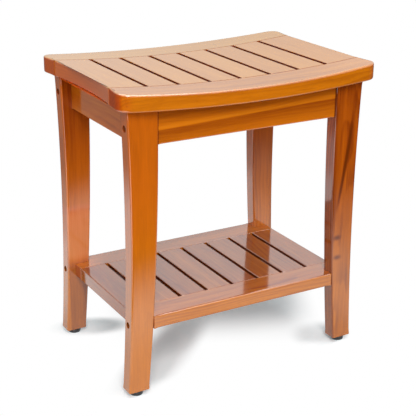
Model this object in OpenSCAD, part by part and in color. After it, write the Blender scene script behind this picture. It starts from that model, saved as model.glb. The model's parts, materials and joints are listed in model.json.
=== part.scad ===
// Teak shower bench with a dished slatted seat and a slatted shelf.
// Millimetres. +X runs along the seat, +Y to the back, +Z up. The origin is on
// the floor under the middle of the bench, and the front is -Y.

/* [Seat] */
// Length of the seat between its corners before they are rounded
seat_l = 424.6; // [405:0.2:440]
// Width of the seat, front to back, at mid length
seat_w = 299.8; // [284:0.2:304]
// Height of the seat's raised ends above the floor
seat_h = 457.4; // [440:0.2:480]
// Thickness of the seat at its middle
seat_t = 21.1; // [19:0.1:25]
// How far the middle of the top is dished below the ends
seat_dip = 10.4; // [5:0.2:12]
// How far the underside rises from the middle to the ends
seat_arch = 6.8; // [4:0.2:8]
// How far the long edges bow out between the corners
seat_bow = 10.4; // [4:0.2:12]
// How far the short ends are hollowed between the corners
seat_cup = 13.2; // [5:0.2:14]
// Radius of the seat's corners in plan
seat_corner_r = 18; // [12:1:26]
// Radius of the worn-soft edge round the seat
seat_edge_r = 2.7; // [1.5:0.1:4]
// Clear length of the seat slats between the front and back rails
seat_slat_l = 188.6; // [176:0.2:196]
// Width of an inner seat slat
seat_slat_w = 43.4; // [40:0.1:45]
// Gap between two seat slats
seat_slat_gap = 6; // [4.5:0.1:7]

/* [Legs] */
// Thickness of a leg, front to back
leg_t = 22.3; // [20:0.1:25]
// Width of a leg at the apron bolts
leg_w = 46.1; // [41:0.1:48]
// How far the seat's corners reach past the legs' waists, along the bench
leg_reach_x = 21.8; // [17:0.1:26]
// How far the seat reaches past the legs at the front and back
leg_reach_y = 24.5; // [17:0.05:26]
// Radius of the hollow outer edge of a leg
leg_outer_r = 4000; // [3300:10:4600]
// Height of the waist, where the outer edge is furthest in
leg_waist_z = 252; // [230:1:270]
// Radius of the inner edge of a leg, which sweeps out to the foot
leg_inner_r = 4360; // [4000:10:5200]
// Height above which the inner edge stands upright
leg_upright_z = 400; // [390:1:410]
// Radius of the long edges of a leg
leg_edge_r = 2.6; // [1.5:0.1:4]

/* [Aprons] */
// Depth of the front and back aprons at mid length
apron_h = 48.4; // [44:0.2:52]
// Thickness of the front and back aprons
apron_t = 17; // [15:0.1:18.5]
// Thickness of the side aprons
side_apron_t = 18; // [16:0.1:20]
// How far the side aprons' faces sit in from the legs' waists
side_apron_in = 13.8; // [10:0.1:15]
// Radius of the aprons' lower edges
apron_edge_r = 2; // [1:0.1:3]

/* [Shelf] */
// Length of the shelf
shelf_l = 360; // [348:1:364]
// Width of the shelf, front to back
shelf_w = 249.5; // [242:0.5:250]
// Height of the top of the shelf
shelf_h = 123; // [110:0.5:150]
// Thickness of the shelf
shelf_t = 20.3; // [18.5:0.1:23]
// Width of the shelf's front and back rails
shelf_rail_w = 42.5; // [37:0.5:46]
// Width of an inner shelf slat
shelf_slat_w = 40.3; // [38:0.1:42]
// Gap between two shelf slats
shelf_slat_gap = 5; // [4:0.1:6]
// Radius of the shelf's outer edges
shelf_edge_r = 2.6; // [1.5:0.1:4]
// Gap between a leg and the side of the notch that goes round it
shelf_notch_gap = 0.5; // [0.3:0.1:1]

/* [Slat joints] */
// Chamfer on the long edges of the slats
slat_ease = 0.9; // [0.5:0.1:1.5]
// Thickness of the slats' tenons
tenon_t = 8; // [6:0.5:9]
// Length of the slats' tenons
tenon_l = 10; // [8:0.5:12]
// How far a tenon sits in from its slat's edges
tenon_shoulder = 5; // [3:0.5:8]
// Empty depth at the bottom of a mortise or dowel hole
glue_space = 1; // [0.5:0.1:2]

/* [Bolts] */
// Diameter of the frame bolts
bolt_d = 5; // [4:0.5:6]
// Diameter of a bolt's round head
bolt_head_d = 8.6; // [8:0.1:9]
// Length of a bolt's head
bolt_head_l = 5; // [4:0.5:6]
// Width across the flats of the bolt's hex socket
bolt_hex = 4; // [3:0.5:5]
// Diameter of the counterbores that sink the bolt heads in the legs
counterbore_d = 9.4; // [9.2:0.1:11]
// Depth of the counterbores
counterbore_l = 10; // [8:0.5:13]
// Clearance round a bolt in its hole
bolt_clear = 0.3; // [0.2:0.05:0.5]
// How far the apron bolts are above the aprons' lower edges
bolt_up = 26.1; // [22:0.1:28]
// Diameter of the barrel nuts
nut_d = 10; // [9:0.5:11]
// Length of the barrel nuts
nut_l = 12; // [11:0.5:13]
// How far the barrel nuts are in from the ends they draw up
nut_in = 24; // [20:0.5:28]

/* [Dowels and seat screws] */
// Diameter of the dowels that locate the front and back aprons
locating_dowel_d = 6; // [5:0.5:7]
// Diameter of the dowels that join the side aprons to the legs
side_dowel_d = 8; // [6:0.5:9]
// How far the dowels reach into a leg
dowel_in_leg = 11; // [9:0.5:12]
// How far the dowels reach into an apron
dowel_in_apron = 18; // [14:0.5:22]
// How far the dowels are above and below the apron bolts
dowel_up = 14; // [12:0.5:15]
// Diameter of the seat screws
screw_d = 4.2; // [3.5:0.1:5]
// Diameter of the seat screws' heads
screw_head_d = 8; // [7:0.1:8.6]
// Depth of the seat screws' counterbores in the aprons
screw_sink = 18; // [14:0.5:22]
// How far the seat screws bite into the seat at mid length
screw_bite = 14; // [11:0.5:16]
// Clearance round a seat screw in its apron
screw_clear = 0.3; // [0.2:0.05:0.6]
// Distance of the front and back aprons' screws from mid length
screw_x = 70; // [50:1:90]
// Distance of the side aprons' screws from mid width
screw_y = 52; // [35:1:70]

/* [Feet] */
// Diameter of a foot pad
pad_d = 20; // [18:0.5:22]
// Height of a foot pad
pad_h = 6.8; // [5:0.1:8]
// Gap between a foot pad and its leg, screwed right in
pad_gap = 0.4; // [0.3:0.1:1]
// Diameter of the threaded stem of a foot
stem_d = 6; // [5:0.5:7]
// Length of the stem above the pad's recess
stem_l = 25; // [22:0.5:30]
// Diameter of the stem's captive collar inside the pad
collar_d = 11; // [10:0.5:12]
// Thickness of the collar
collar_t = 1.2; // [1:0.1:1.5]
// Thickness of the pad under the collar
pad_floor = 1.8; // [1.5:0.1:2.2]
// Diameter of the threaded insert in the end of a leg
insert_d = 9; // [8.5:0.5:11]
// Length of the threaded insert
insert_l = 16; // [14:0.5:18]
// Running clearance round a stem
stem_clear = 0.06; // [0.04:0.01:0.08]

/* [Hidden] */
$fn = 48;
// Segments in a full turn of the wide arcs, so each step is a few millimetres
arc_fn = 1800;
// Slack that carries a cut through a face
cut = 1;
seat_slats = 8;
shelf_slats = 8;
half_l = seat_l / 2;
half_w = seat_w / 2;

// Radius of an arc that rises by rise over a half chord
function arc_r(half, rise) = (half * half + rise * rise) / (2 * rise);
// Rise of an arc of radius r at a distance d from its middle
function arc_rise(r, d) = r - sqrt(r * r - d * d);

top_r = arc_r(half_l, seat_dip);
under_r = arc_r(half_l, seat_arch);
seat_mid_z = seat_h - seat_dip;
under_mid_z = seat_mid_z - seat_t;
function seat_top(x) = seat_mid_z + arc_rise(top_r, x);
function seat_under(x) = under_mid_z + arc_rise(under_r, x);

leg_out_x = half_l - leg_reach_x;
leg_out_y = half_w - leg_reach_y;
leg_y = leg_out_y - leg_t / 2;
leg_in_y = leg_out_y - leg_t;
leg_foot_z = pad_h + pad_gap;
apron_z = under_mid_z - apron_h;
bolt_z = apron_z + bolt_up;
shelf_bolt_z = shelf_h - shelf_t / 2;
function leg_outer(z) = leg_out_x + arc_rise(leg_outer_r, z - leg_waist_z);
leg_upright_x = leg_outer(bolt_z) - leg_w;
function leg_inner(z) = leg_upright_x + arc_rise(leg_inner_r, z - leg_upright_z);
foot_x = (leg_inner(leg_foot_z) + leg_outer(leg_foot_z)) / 2;
shoulder_x = leg_inner(shelf_h);
side_apron_x = leg_out_x - side_apron_in - side_apron_t / 2;
rail_y = seat_slat_l / 2;
shelf_rail_y = shelf_w / 2 - shelf_rail_w;
shelf_z = shelf_h - shelf_t;
screw_z = apron_z + screw_sink;

// Where slat i of n starts and ends along the bench. The two end slats run out
// past the panel, which trims them.
function slat_from(i, n, w, gap, half) = i == 0 ? -half - cut : (i - n / 2) * (w + gap) + gap / 2;
function slat_to(i, n, w, gap, half) = -slat_from(n - 1 - i, n, w, gap, half);
// Where the tenon of slat i starts: the end slats' tenons are as wide as the rest
function tenon_from(i, n, w, gap) =
    (i == 0 ? gap / 2 - n / 2 * (w + gap) : slat_from(i, n, w, gap, 0)) + tenon_shoulder;

// Plan of the seat in its +X +Y quarter, as [x, y, normal x, normal y] from the
// middle of the back edge round the corner to the middle of the end
bow_r = arc_r(half_l, seat_bow);
cup_r = arc_r(half_w - seat_bow, seat_cup);
bow_c = [0, half_w - bow_r];
cup_c = [half_l - seat_cup + cup_r, 0];
// The corner's centre is where the two edges' arcs, moved in by its radius, meet
corner_ra = bow_r - seat_corner_r;
corner_rb = cup_r + seat_corner_r;
arc_span = norm(cup_c - bow_c);
arc_dir = (cup_c - bow_c) / arc_span;
arc_a = (corner_ra ^ 2 - corner_rb ^ 2 + arc_span ^ 2) / (2 * arc_span);
arc_b = sqrt(corner_ra ^ 2 - arc_a ^ 2);
corner_c = bow_c + arc_a * arc_dir + arc_b * [-arc_dir[1], arc_dir[0]];
bow_end = atan2(corner_c[0] - bow_c[0], corner_c[1] - bow_c[1]);
cup_end = atan2(corner_c[1], cup_c[0] - corner_c[0]);
bow_steps = 16;
corner_steps = 7;
cup_steps = 7;
round_steps = 3;
function on_arc(c, r, nx, ny, out) = [c[0] + out * r * nx, c[1] + out * r * ny, nx, ny];
quarter = concat(
    [for (i = [0 : bow_steps - 1]) let (a = bow_end * i / bow_steps)
        on_arc(bow_c, bow_r, sin(a), cos(a), 1)],
    [for (i = [0 : corner_steps]) let (a = 90 - bow_end - (90 - bow_end + cup_end) * i / corner_steps)
        on_arc(corner_c, seat_corner_r, cos(a), sin(a), 1)],
    [for (i = [1 : cup_steps]) let (a = cup_end * (1 - i / cup_steps))
        on_arc(cup_c, cup_r, cos(a), -sin(a), -1)]
);
last = len(quarter) - 1;
loop_n = 4 * last;
// Which point of the quarter, and which mirror of it, stands at place j of the loop
function turn(j) = floor(j / last) % 4;
function place(j) = turn(j) % 2 == 0 ? j % last : last - j % last;
function side_x(j) = turn(j) < 2 ? 1 : -1;
function side_y(j) = turn(j) == 0 || turn(j) == 3 ? 1 : -1;
// Rings up the edge, as [how far in, how far from the face, 0 for below and 1 for above]
rings = concat(
    [for (k = [0 : round_steps]) let (a = 90 * k / round_steps)
        [seat_edge_r * (1 - sin(a)), seat_edge_r * (1 - cos(a)), 0]],
    [for (k = [0 : round_steps]) let (a = 90 * (1 - k / round_steps))
        [seat_edge_r * (1 - sin(a)), seat_edge_r * (1 - cos(a)), 1]]
);
function face_z(x, above) = above == 1 ? seat_top(x) : seat_under(x);
function ring_point(j, ring) = let (
        q = quarter[place(j)],
        x = side_x(j) * (q[0] - q[2] * ring[0]),
        y = side_y(j) * (q[1] - q[3] * ring[0]))
    [x, y, face_z(x, ring[2]) + (ring[2] == 1 ? -ring[1] : ring[1])];
// The faces' middle line: each point of the bowed edges has one beside it, and
// the ends share the last
spine_n = bow_steps - 1;
function spine(j) = side_x(j) * min(place(j), spine_n);
function spine_point(s, above) = let (x = sign(s) * quarter[abs(s)][0])
    [x, 0, face_z(x, above)];

// The seat as one shaped panel, which its rails and end slats are cut from
module seat_panel() {
    ring_count = len(rings);
    low = ring_count * loop_n + spine_n;
    high = low + 2 * spine_n + 1;
    polyhedron(
        points = concat(
            [for (ring = rings, j = [0 : loop_n - 1]) ring_point(j, ring)],
            [for (s = [-spine_n : spine_n]) spine_point(s, 0)],
            [for (s = [-spine_n : spine_n]) spine_point(s, 1)]
        ),
        faces = concat(
            [for (k = [0 : ring_count - 2], j = [0 : loop_n - 1]) let (n = (j + 1) % loop_n)
                [k * loop_n + j, k * loop_n + n, (k + 1) * loop_n + n, (k + 1) * loop_n + j]],
            [for (j = [0 : loop_n - 1]) let (n = (j + 1) % loop_n)
                spine(j) == spine(n)
                    ? [j, low + spine(j), n]
                    : [j, low + spine(j), low + spine(n), n]],
            [for (j = [0 : loop_n - 1]) let (n = (j + 1) % loop_n, up = (ring_count - 1) * loop_n)
                spine(j) == spine(n)
                    ? [up + n, high + spine(j), up + j]
                    : [up + n, high + spine(n), high + spine(j), up + j]]
        ),
        convexity = 4
    );
}

// Everything above the seat's underside, for trimming what stands under it
module above_seat_under() {
    translate([0, 0, under_mid_z + under_r])
        rotate([90, 0, 0])
            cylinder(h = 2 * seat_w, r = under_r, center = true, $fn = arc_fn);
}

// Everything above the seat's dished top
module above_seat_top() {
    translate([0, 0, seat_mid_z + top_r])
        rotate([90, 0, 0])
            cylinder(h = 2 * seat_w, r = top_r, center = true, $fn = arc_fn);
}

// A bar w by t with its four corners rounded to r
module round_bar(w, t, r) {
    square([w - 2 * r, t], center = true);
    square([w, t - 2 * r], center = true);
    for (sx = [-1, 1], sy = [-1, 1])
        translate([sx * (w / 2 - r), sy * (t / 2 - r)])
            circle(r = r);
}

// Section of a slat from x0 to x1 with eased corners, open above and below so
// that a panel's faces, at z0(x) and z1(x), can trim it
module slat_section(x0, x1, under0, under1, top0, top1) {
    polygon([
        [x0, under0 + slat_ease], [x0 + slat_ease, under0], [x0 + slat_ease, under0 - cut],
        [x1 - slat_ease, under1 - cut], [x1 - slat_ease, under1], [x1, under1 + slat_ease],
        [x1, top1 - slat_ease], [x1 - slat_ease, top1], [x1 - slat_ease, top1 + cut],
        [x0 + slat_ease, top0 + cut], [x0 + slat_ease, top0], [x0, top0 - slat_ease]
    ]);
}

// Tenons at both ends of slat i, longer by spare where they cut a mortise
module tenons(i, n, w, gap, z, y, spare) {
    translate([tenon_from(i, n, w, gap), -y - tenon_l - spare, z - tenon_t / 2])
        cube([w - 2 * tenon_shoulder, 2 * (y + tenon_l + spare), tenon_t]);
}

module seat_tenons(i, spare) {
    x = tenon_from(i, seat_slats, seat_slat_w, seat_slat_gap) + seat_slat_w / 2 - tenon_shoulder;
    tenons(i, seat_slats, seat_slat_w, seat_slat_gap, (seat_top(x) + seat_under(x)) / 2, rail_y, spare);
}

module shelf_tenons(i, spare) {
    tenons(i, shelf_slats, shelf_slat_w, shelf_slat_gap, shelf_bolt_z, shelf_rail_y, spare);
}

// Slat i of the seat between the rails, before it gets its tenons
module seat_slat_body(i) {
    x0 = slat_from(i, seat_slats, seat_slat_w, seat_slat_gap, half_l);
    x1 = slat_to(i, seat_slats, seat_slat_w, seat_slat_gap, half_l);
    rotate([90, 0, 0])
        linear_extrude(height = 2 * rail_y, center = true)
            slat_section(x0, x1, seat_under(x0), seat_under(x1), seat_top(x0), seat_top(x1));
}

// Every seat screw's place, as [x, y]
screws = concat(
    [for (sx = [-1, 1], sy = [-1, 1]) [sx * screw_x, sy * leg_y]],
    [for (sx = [-1, 1], sy = [-1, 1]) [sx * side_apron_x, sy * screw_y]]
);
screw_tip_z = under_mid_z + screw_bite;

// The screws' pilot holes, the same size as the screws
module seat_pilots() {
    for (p = screws)
        translate([p[0], p[1], screw_z])
            cylinder(h = screw_tip_z - screw_z, d = screw_d);
}

// Clearance holes and counterbores for the seat screws, up through the aprons
module seat_screw_holes() {
    for (p = screws)
        translate([p[0], p[1], 0]) {
            translate([0, 0, apron_z - cut])
                cylinder(h = screw_sink + cut, d = screw_head_d + 2 * screw_clear);
            translate([0, 0, screw_z])
                cylinder(h = seat_h - screw_z, d = screw_d + 2 * screw_clear);
        }
}

module seat_rail(side) {
    color("peru")
    difference() {
        intersection() {
            seat_panel();
            translate([-half_l, side > 0 ? rail_y : -seat_w, 0])
                cube([seat_l, seat_w - rail_y, 2 * seat_h]);
        }
        for (i = [0 : seat_slats - 1])
            seat_tenons(i, glue_space);
        seat_pilots();
    }
}

module seat_inner_slat(i) {
    color("burlywood") {
        difference() {
            intersection() {
                seat_slat_body(i);
                above_seat_under();
            }
            above_seat_top();
        }
        seat_tenons(i, 0);
    }
}

module seat_end_slat(i) {
    color("burlywood")
    difference() {
        union() {
            intersection() {
                seat_panel();
                seat_slat_body(i);
            }
            seat_tenons(i, 0);
        }
        seat_pilots();
    }
}

// The leg that stands at +X +Y, in place and without its holes
module leg_shape() {
    // Degrees of arc that cover the leg's height, and how many are above upright
    sweep = 8;
    over = 1;
    band = 2 * leg_w;
    difference() {
        intersection() {
            // Inside the inner edge's arc
            translate([leg_upright_x + leg_inner_r, leg_y, leg_upright_z])
                rotate([90, 0, 0])
                    rotate_extrude(angle = sweep, start = 180 - over, $fn = 4 * arc_fn)
                        translate([leg_inner_r - band / 2, 0])
                            round_bar(band, leg_t, leg_edge_r);
            // Outside the outer edge's arc
            translate([leg_out_x + leg_outer_r, leg_y, leg_waist_z])
                rotate([90, 0, 0])
                    rotate_extrude(angle = sweep, start = 180 - sweep / 2, $fn = 4 * arc_fn)
                        translate([leg_outer_r + band / 2, 0])
                            round_bar(band, leg_t, leg_edge_r);
            translate([0, 0, leg_foot_z])
                cube([seat_l, seat_w, seat_h]);
        }
        above_seat_under();
    }
}

// Places [x, y] as the leg at +X +Y has them, for the leg at the given corner
module at_corner(side_x, side_y) {
    mirror([side_x < 0 ? 1 : 0, 0, 0])
        mirror([0, side_y < 0 ? 1 : 0, 0])
            children();
}

// A bolt's clearance hole and counterbore through the leg at +X +Y
module bolt_hole(z) {
    seat_x = leg_outer(z) - counterbore_l;
    translate([0, leg_y, z])
        rotate([0, 90, 0]) {
            cylinder(h = seat_l, d = bolt_d + 2 * bolt_clear);
            translate([0, 0, seat_x])
                cylinder(h = seat_l, d = counterbore_d);
        }
}

// A bolt from its head in the leg at +X +Y to past its barrel nut at nut_x
module bolt(z, nut_x) {
    seat_x = leg_outer(z) - counterbore_l;
    tip_x = nut_x - nut_d;
    translate([0, leg_y, z])
        rotate([0, 90, 0])
            difference() {
                union() {
                    translate([0, 0, tip_x])
                        cylinder(h = seat_x - tip_x + bolt_head_l / 2, d = bolt_d);
                    translate([0, 0, seat_x])
                        cylinder(h = bolt_head_l, d = bolt_head_d);
                }
                translate([0, 0, seat_x + bolt_head_l / 2])
                    cylinder(h = bolt_head_l, d = bolt_hex / cos(30), $fn = 6);
            }
}

apron_nut_x = leg_upright_x - nut_in;
shelf_nut_x = shoulder_x - nut_in;
// The barrel nuts stop short of the aprons' outer faces and the shelf's top
nut_wall = 3;

// A barrel nut's place in the apron at +X +Y, turned to lie front to back
module at_apron_nut() {
    translate([apron_nut_x, leg_y + apron_t / 2 - nut_wall, bolt_z])
        rotate([90, 0, 0])
            children();
}

// A barrel nut's place in the shelf rail at +X +Y, upright
module at_shelf_nut() {
    translate([shelf_nut_x, leg_y, shelf_h - nut_wall])
        rotate([180, 0, 0])
            children();
}

// The dowels that locate a long apron on the leg at +X +Y
module locating_dowel_pair(spare) {
    for (up = [-1, 1])
        translate([leg_upright_x - dowel_in_apron - spare, leg_y, bolt_z + up * dowel_up])
            rotate([0, 90, 0])
                cylinder(h = dowel_in_apron + dowel_in_leg + 2 * spare, d = locating_dowel_d);
}

// The dowels that join a side apron to the leg at +X +Y
module side_dowel_pair(spare) {
    for (up = [-1, 1])
        translate([side_apron_x, leg_in_y + dowel_in_leg + spare, bolt_z + up * dowel_up])
            rotate([90, 0, 0])
                cylinder(h = dowel_in_apron + dowel_in_leg + 2 * spare, d = side_dowel_d);
}

module leg(side_x, side_y) {
    color("sienna")
    at_corner(side_x, side_y)
        difference() {
            leg_shape();
            bolt_hole(bolt_z);
            bolt_hole(shelf_bolt_z);
            locating_dowel_pair(glue_space);
            side_dowel_pair(glue_space);
            foot_hole();
        }
}

module long_apron(side) {
    color("chocolate")
    difference() {
        translate([0, side * leg_y, 0])
            rotate([90, 0, 90])
                linear_extrude(height = 2 * leg_upright_x, center = true)
                    translate([0, apron_z + seat_t + apron_h / 2 + seat_arch])
                        round_bar(apron_t, apron_h + 2 * (seat_t + seat_arch), apron_edge_r);
        above_seat_under();
        for (end = [-1, 1])
            at_corner(end, side) {
                translate([0, leg_y, bolt_z])
                    rotate([0, 90, 0])
                        translate([0, 0, apron_nut_x - nut_d - cut])
                            cylinder(h = seat_l, d = bolt_d + 2 * bolt_clear);
                at_apron_nut()
                    cylinder(h = apron_t, d = nut_d);
                locating_dowel_pair(glue_space);
            }
        seat_screw_holes();
    }
}

module side_apron(side) {
    color("chocolate")
    difference() {
        translate([side * side_apron_x, 0, 0])
            rotate([90, 0, 0])
                linear_extrude(height = 2 * leg_in_y, center = true)
                    translate([0, apron_z + seat_t + apron_h / 2 + seat_arch])
                        round_bar(side_apron_t, apron_h + 2 * (seat_t + seat_arch), apron_edge_r);
        above_seat_under();
        for (end = [-1, 1])
            at_corner(side, end)
                side_dowel_pair(glue_space);
        seat_screw_holes();
    }
}

// The shelf as one panel with its outer edges rounded
module shelf_panel() {
    translate([0, 0, shelf_bolt_z])
        intersection() {
            rotate([90, 0, 90])
                linear_extrude(height = shelf_l, center = true)
                    round_bar(shelf_w, shelf_t, shelf_edge_r);
            rotate([90, 0, 0])
                linear_extrude(height = shelf_w, center = true)
                    round_bar(shelf_l, shelf_t, shelf_edge_r);
        }
}

module shelf_rail(side) {
    color("peru")
    difference() {
        intersection() {
            shelf_panel();
            translate([-half_l, side > 0 ? shelf_rail_y : -shelf_w, 0])
                cube([seat_l, shelf_w - shelf_rail_y, seat_h]);
        }
        for (end = [-1, 1])
            at_corner(end, side) {
                translate([shoulder_x, leg_in_y - shelf_notch_gap, 0])
                    cube([seat_l, seat_w, seat_h]);
                translate([0, leg_y, shelf_bolt_z])
                    rotate([0, 90, 0])
                        translate([0, 0, shelf_nut_x - nut_d - cut])
                            cylinder(h = seat_l, d = bolt_d + 2 * bolt_clear);
                at_shelf_nut()
                    cylinder(h = shelf_t, d = nut_d);
            }
        for (i = [0 : shelf_slats - 1])
            shelf_tenons(i, glue_space);
    }
}

module shelf_slat(i) {
    x0 = slat_from(i, shelf_slats, shelf_slat_w, shelf_slat_gap, half_l);
    x1 = slat_to(i, shelf_slats, shelf_slat_w, shelf_slat_gap, half_l);
    color("burlywood") {
        intersection() {
            shelf_panel();
            rotate([90, 0, 0])
                linear_extrude(height = 2 * shelf_rail_y, center = true)
                    slat_section(x0, x1, shelf_z, shelf_z, shelf_h, shelf_h);
        }
        shelf_tenons(i, 0);
    }
}

module bolts(z, nut_x) {
    color("dimgray")
    for (sx = [-1, 1], sy = [-1, 1])
        at_corner(sx, sy)
            bolt(z, nut_x);
}

// A barrel nut l long, with its cross hole at_l along it
module barrel_nut(at_l) {
    difference() {
        cylinder(h = nut_l, d = nut_d);
        translate([0, 0, at_l])
            rotate([0, 90, 0])
                cylinder(h = 2 * nut_d, d = bolt_d, center = true);
    }
}

module apron_barrel_nuts() {
    color("darkgray")
    for (sx = [-1, 1], sy = [-1, 1])
        at_corner(sx, sy)
            at_apron_nut()
                barrel_nut(apron_t / 2 - nut_wall);
}

module shelf_barrel_nuts() {
    color("darkgray")
    for (sx = [-1, 1], sy = [-1, 1])
        at_corner(sx, sy)
            at_shelf_nut()
                barrel_nut(shelf_t / 2 - nut_wall);
}

module locating_dowels() {
    color("wheat")
    for (sx = [-1, 1], sy = [-1, 1])
        at_corner(sx, sy)
            locating_dowel_pair(0);
}

module side_apron_dowels() {
    color("wheat")
    for (sx = [-1, 1], sy = [-1, 1])
        at_corner(sx, sy)
            side_dowel_pair(0);
}

module seat_screws() {
    head_l = screw_head_d / 3;
    color("darkgray")
    for (p = screws)
        translate([p[0], p[1], screw_z]) {
            cylinder(h = screw_tip_z - screw_z, d = screw_d);
            translate([0, 0, -head_l])
                cylinder(h = head_l, d = screw_head_d);
        }
}

// The hole in the end of the leg at +X +Y: the insert's seat, then room for the stem
module foot_hole() {
    translate([foot_x, leg_y, leg_foot_z - cut])
        cylinder(h = insert_l + cut, d = insert_d);
    translate([foot_x, leg_y, leg_foot_z])
        cylinder(h = stem_l + glue_space, d = stem_d + 1);
}

module foot_inserts() {
    color("goldenrod")
    for (sx = [-1, 1], sy = [-1, 1])
        translate([sx * foot_x, sy * leg_y, leg_foot_z])
            difference() {
                cylinder(h = insert_l, d = insert_d);
                translate([0, 0, -cut])
                    cylinder(h = insert_l + 2 * cut, d = stem_d + 2 * stem_clear);
            }
}

module foot_stem(side_x, side_y) {
    color("silver")
    translate([side_x * foot_x, side_y * leg_y, pad_floor + stem_clear]) {
        cylinder(h = collar_t, d = collar_d);
        cylinder(h = stem_l, d = stem_d);
    }
}

module foot_pad(side_x, side_y) {
    // Half section: a flat sole, a bulged side and a recess that holds the collar
    sole_r = pad_d / 2 - 1.2;
    bulge = pad_d / 2;
    recess_r = collar_d / 2 + stem_clear;
    recess_t = collar_t + 2 * stem_clear;
    color("dimgray")
    translate([side_x * foot_x, side_y * leg_y, 0])
        rotate_extrude()
            difference() {
                union() {
                    square([sole_r, pad_h]);
                    translate([0, 1.2])
                        square([bulge, pad_h - 3.2]);
                    translate([sole_r, 1.2])
                        circle(r = 1.2);
                    translate([bulge - 2, pad_h - 2])
                        circle(r = 2);
                }
                translate([0, pad_floor])
                    square([recess_r, recess_t]);
                translate([0, pad_floor])
                    square([stem_d / 2 + stem_clear, pad_h]);
                translate([-bulge, 0])
                    square([bulge, pad_h]);
            }
}

seat_rail(-1);  // seat_front_rail
seat_rail(1);  // seat_back_rail
seat_end_slat(0);  // seat_slat_1
seat_inner_slat(1);  // seat_slat_2
seat_inner_slat(2);  // seat_slat_3
seat_inner_slat(3);  // seat_slat_4
seat_inner_slat(4);  // seat_slat_5
seat_inner_slat(5);  // seat_slat_6
seat_inner_slat(6);  // seat_slat_7
seat_end_slat(7);  // seat_slat_8
long_apron(-1);  // front_apron
long_apron(1);  // back_apron
side_apron(-1);  // left_apron
side_apron(1);  // right_apron
leg(-1, -1);  // leg_front_left
leg(1, -1);  // leg_front_right
leg(-1, 1);  // leg_back_left
leg(1, 1);  // leg_back_right
shelf_rail(-1);  // shelf_front_rail
shelf_rail(1);  // shelf_back_rail
shelf_slat(0);  // shelf_slat_1
shelf_slat(1);  // shelf_slat_2
shelf_slat(2);  // shelf_slat_3
shelf_slat(3);  // shelf_slat_4
shelf_slat(4);  // shelf_slat_5
shelf_slat(5);  // shelf_slat_6
shelf_slat(6);  // shelf_slat_7
shelf_slat(7);  // shelf_slat_8
bolts(bolt_z, apron_nut_x);  // apron_bolts
bolts(shelf_bolt_z, shelf_nut_x);  // shelf_bolts
apron_barrel_nuts();
shelf_barrel_nuts();
locating_dowels();
side_apron_dowels();
seat_screws();
foot_inserts();
foot_stem(-1, -1);  // foot_stem_front_left
foot_stem(1, -1);  // foot_stem_front_right
foot_stem(-1, 1);  // foot_stem_back_left
foot_stem(1, 1);  // foot_stem_back_right
foot_pad(-1, -1);  // foot_pad_front_left
foot_pad(1, -1);  // foot_pad_front_right
foot_pad(-1, 1);  // foot_pad_back_left
foot_pad(1, 1);  // foot_pad_back_right
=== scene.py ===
"""Teak shower bench: varnished boards with a dished, slatted seat, a slatted shelf,
sunk bolts and screw feet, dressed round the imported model. Metres, +Z up, front -Y."""
import json
import math

import bmesh
import bpy
import numpy as np
from mathutils import Matrix, Vector

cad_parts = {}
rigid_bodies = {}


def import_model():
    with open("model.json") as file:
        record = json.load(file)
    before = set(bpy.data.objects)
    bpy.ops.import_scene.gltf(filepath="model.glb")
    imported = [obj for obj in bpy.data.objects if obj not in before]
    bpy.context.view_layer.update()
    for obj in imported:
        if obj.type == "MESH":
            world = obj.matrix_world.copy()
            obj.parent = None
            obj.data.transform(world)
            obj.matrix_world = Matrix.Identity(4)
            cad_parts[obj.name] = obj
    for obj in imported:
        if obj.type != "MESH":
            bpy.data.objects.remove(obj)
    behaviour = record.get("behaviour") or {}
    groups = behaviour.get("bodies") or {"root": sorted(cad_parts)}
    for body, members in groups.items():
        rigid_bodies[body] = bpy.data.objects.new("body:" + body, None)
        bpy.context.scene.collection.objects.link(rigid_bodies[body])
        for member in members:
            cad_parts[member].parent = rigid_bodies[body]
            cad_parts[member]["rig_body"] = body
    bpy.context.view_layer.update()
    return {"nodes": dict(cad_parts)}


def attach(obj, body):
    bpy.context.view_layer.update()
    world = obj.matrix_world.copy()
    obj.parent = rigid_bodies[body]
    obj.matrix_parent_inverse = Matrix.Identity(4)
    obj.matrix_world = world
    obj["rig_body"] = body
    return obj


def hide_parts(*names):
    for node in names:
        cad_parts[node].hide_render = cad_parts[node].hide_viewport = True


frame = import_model()
nodes = frame["nodes"]
MM = 0.001


# ----------------------------------------
# Seat rails: two teak boards that run the bench's length in front of and behind
# the slats. They are band-sawn to a bowed outer edge, dished on top, rounded over
# with a router and finished in clear gloss varnish.
seat_half_l = 212.3 * MM
seat_half_w = 149.9 * MM
seat_bow = 10.4 * MM
seat_cup = 13.2 * MM
seat_corner = 18.0 * MM
seat_edge = 2.7 * MM
joint_edge = 0.7 * MM
joint_corner = 1.1 * MM
corner_steps = 7
rail_inner_y = 94.3 * MM
seat_top_mid = 447.0 * MM
seat_under_mid = 425.9 * MM
seat_dip = 10.4 * MM
seat_arch = 6.8 * MM


def arc_radius(half, rise):
    """Radius of an arc that rises by rise over half a chord: (half^2 + rise^2) / 2 rise."""
    return (half * half + rise * rise) / (2 * rise)


def arc_rise(radius, off):
    """Rise of an arc at a distance off from its middle: r - sqrt(r^2 - off^2)."""
    return radius - np.sqrt(radius * radius - off * off)


def seat_top(x):
    """The dished top: one arc, lowest at mid length."""
    return seat_top_mid + arc_rise(arc_radius(seat_half_l, seat_dip), x)


def seat_under(x):
    """The underside: a flatter arc than the top's."""
    return seat_under_mid + arc_rise(arc_radius(seat_half_l, seat_arch), x)


def seat_end_x(y):
    """The hollow end of the seat: an arc in plan, furthest in at mid width."""
    return seat_half_l - seat_cup + arc_rise(arc_radius(seat_half_w - seat_bow, seat_cup), y)


def bowed_y(x):
    """The bowed long edge: an arc in plan, furthest out at mid length."""
    return seat_half_w - arc_rise(arc_radius(seat_half_l, seat_bow), x)


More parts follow.
